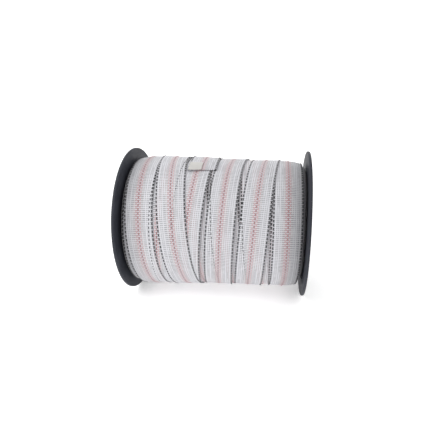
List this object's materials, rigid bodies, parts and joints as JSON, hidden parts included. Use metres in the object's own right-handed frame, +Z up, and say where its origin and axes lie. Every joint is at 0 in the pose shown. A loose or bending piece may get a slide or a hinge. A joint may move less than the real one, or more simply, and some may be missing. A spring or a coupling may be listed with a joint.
{
  "type": "spool of electric fence tape",
  "caption": "Spool of woven electric fence tape: two round plastic flanges on a core tube with a through bore, wound full of wide tape, lying on its flange rims.",
  "frame": {"origin": "on the floor, midway between the flanges, below the spool's axis", "axes": "+X along the spool's axis towards its right flange, -Y towards the viewer, +Z up"},
  "size_m": [0.2614, 0.2148, 0.2148],
  "materials": {
    "flange_plastic": "moulded, satin",
    "core_plastic": "extruded, matt",
    "woven_tape": "open plain weave of white polyethylene yarn with red and black threads",
    "cream_film": "smooth cream adhesive film"
  },
  "bodies": {
    "root": {"left_flange": "flange_plastic", "right_flange": "flange_plastic", "core_tube": "core_plastic", "tape_winding": "woven_tape", "end_tab": "cream_film"}
  },
  "joints": []
}
